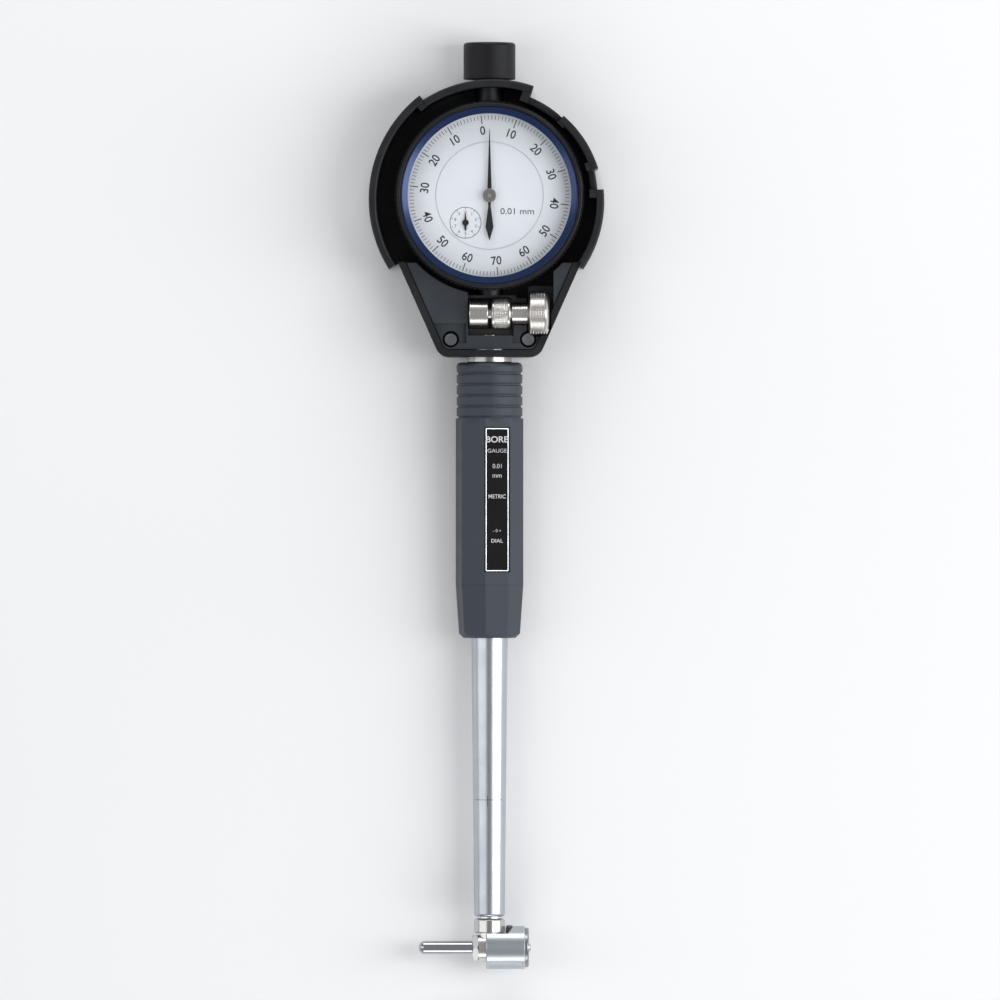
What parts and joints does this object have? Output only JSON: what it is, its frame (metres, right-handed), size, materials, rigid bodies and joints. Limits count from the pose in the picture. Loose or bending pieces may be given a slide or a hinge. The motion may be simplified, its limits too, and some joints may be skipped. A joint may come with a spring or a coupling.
{
  "type": "dial bore gauge",
  "caption": "Dial bore gauge: guarded dial indicator on a ribbed grip and tube, with a small two-point measuring head at the far end.",
  "frame": {"origin": "on the guard's flat back, straight behind the dial's centre", "axes": "+Z along the dial's normal, +Y along the instrument from the measuring head to the dust cap, +X along the measuring line towards the contact"},
  "size_m": [0.0706, 0.2783, 0.024],
  "materials": {
    "guard_black": "fine moulded texture",
    "guard_slate": "satin moulded",
    "grip_slate": "satin moulded",
    "clamp_black": "black oxide",
    "nickel": "nickel plated",
    "steel": "ground",
    "dark_steel": "dark plated",
    "spring_steel": "bright wire",
    "polished_rod": "polished",
    "satin_tube": "satin chrome",
    "satin_head": "satin chrome",
    "case_metal": "satin, blackened",
    "cap_black": "satin black",
    "bezel_black": "satin black",
    "trim_blue": "blue anodised",
    "crystal": "clear",
    "gasket_rubber": "black",
    "dial_white": "matt white paint",
    "label_black": "black with a silver border",
    "brass_bush": "turned",
    "movement_brass": "brushed",
    "hand_black": "matt black",
    "hub_metal": "satin"
  },
  "bodies": {
    "frame": {"guard_shell": "guard_black", "guard_front_plate": "guard_slate", "guard_screws": "steel", "clamp_block": "clamp_black", "cotter_right": "nickel", "holder_neck": "nickel", "grip": "grip_slate", "label_plate": "label_black", "tube": "satin_tube", "rod_guide_upper": "brass_bush", "rod_guide_lower": "brass_bush", "rod_return_spring": "spring_steel", "head_body": "nickel", "head_collar": "nickel", "contact_bush": "brass_bush", "guide_spring": "spring_steel", "anvil_rod": "polished_rod", "anvil_nut": "dark_steel", "indicator_case": "case_metal", "case_back_cover": "case_metal", "case_back_screws": "steel", "stem_bush": "brass_bush", "spindle_top_bush": "brass_bush", "dust_cap": "cap_black", "return_spring": "spring_steel", "bezel_retaining_ring": "spring_steel", "movement_rear_plate": "movement_brass", "movement_front_plate": "movement_brass", "movement_pillars": "movement_brass", "movement_screws": "steel", "centre_bridge": "movement_brass", "dial_centre": "dial_white"},
    "dial_bezel": {"bezel": "bezel_black", "bezel_trim_ring": "trim_blue", "crystal": "crystal", "crystal_gasket": "gasket_rubber", "dial_scale_ring": "dial_white"},
    "rod": {"push_rod": "steel", "rod_end_pad": "steel", "rod_foot": "steel"},
    "indicator_spindle": {"spindle": "steel", "spindle_contact": "steel", "rack_guide_pin": "steel"},
    "rack_arbor": {"rack_wheel": "movement_brass"},
    "pointer_arbor": {"centre_arbor": "steel", "pointer": "hand_black", "pointer_hub": "hub_metal"},
    "hairspring_arbor": {"hairspring_wheel": "movement_brass", "hairspring": "spring_steel"},
    "counter_arbor": {"counter_wheel": "movement_brass", "counter_pointer": "hand_black"},
    "contact": {"contact_plunger": "steel", "contact_tip": "steel"},
    "guide": {"guide_sleeve": "satin_head", "guide_end_ring": "dark_steel", "guide_key_pin": "dark_steel"},
    "thumb_screw": {"clamp_screw": "steel", "clamp_spacer": "nickel", "clamp_knob": "nickel"},
    "left_cotter": {"cotter_left": "nickel"}
  },
  "joints": [
    {"name": "rod_slide", "type": "slide", "parent": "frame", "child": "rod", "axis": [0, 1, 0], "range_m": [0, 0.0012], "stiffness_N_per_m": 900, "springref_m": -0.0015, "deforming": ["rod_return_spring"]},
    {"name": "contact_slide", "type": "slide", "parent": "frame", "child": "contact", "axis": [-1, 0, 0], "range_m": [0, 0.0012]},
    {"name": "spindle_slide", "type": "slide", "parent": "frame", "child": "indicator_spindle", "axis": [0, 1, 0], "range_m": [0, 0.0012], "deforming": ["return_spring"]},
    {"name": "rack_arbor_turn", "type": "hinge", "parent": "frame", "child": "rack_arbor", "pos_m": [-0.00296, -0.01101, 0.0145], "axis": [0, 0, 1], "range_deg": [0, 43.5]},
    {"name": "pointer_turn", "type": "hinge", "parent": "frame", "child": "pointer_arbor", "pos_m": [0, 0, 0.0165], "axis": [0, 0, 1], "range_deg": [-309, 0]},
    {"name": "hairspring_arbor_turn", "type": "hinge", "parent": "frame", "child": "hairspring_arbor", "pos_m": [0.00296, 0.01101, 0.0145], "axis": [0, 0, 1], "range_deg": [0, 43.5]},
    {"name": "counter_turn", "type": "hinge", "parent": "frame", "child": "counter_arbor", "pos_m": [-0.00719, -0.00816, 0.016], "axis": [0, 0, 1], "range_deg": [-31, 0]},
    {"name": "bezel_turn", "type": "hinge", "parent": "frame", "child": "dial_bezel", "pos_m": [0, 0, 0.019], "axis": [0, 0, 1], "continuous": true},
    {"name": "guide_slide", "type": "slide", "parent": "frame", "child": "guide", "axis": [-1, 0, 0], "range_m": [0, 0.001], "stiffness_N_per_m": 300, "springref_m": -0.001, "deforming": ["guide_spring"]},
    {"name": "thumb_screw_turn", "type": "hinge", "parent": "frame", "child": "thumb_screw", "pos_m": [0, -0.0353, 0.0173], "axis": [1, 0, 0], "range_deg": [0, 180]},
    {"name": "cotter_left_slide", "type": "slide", "parent": "frame", "child": "left_cotter", "axis": [-1, 0, 0], "range_m": [0, 0.00035]}
  ],
  "couplings": [
    {"joint": "contact_slide", "follows": "rod_slide", "ratio": 1},
    {"joint": "spindle_slide", "follows": "rod_slide", "ratio": 1},
    {"joint": "rack_arbor_turn", "follows": "rod_slide", "rad_per_m": 628.32},
    {"joint": "pointer_turn", "follows": "rod_slide", "rad_per_m": -4488},
    {"joint": "hairspring_arbor_turn", "follows": "rod_slide", "rad_per_m": 628.32},
    {"joint": "counter_turn", "follows": "rod_slide", "rad_per_m": -448.8},
    {"joint": "thumb_screw_turn", "follows": "cotter_left_slide", "rad_per_m": 8976}
  ]
}
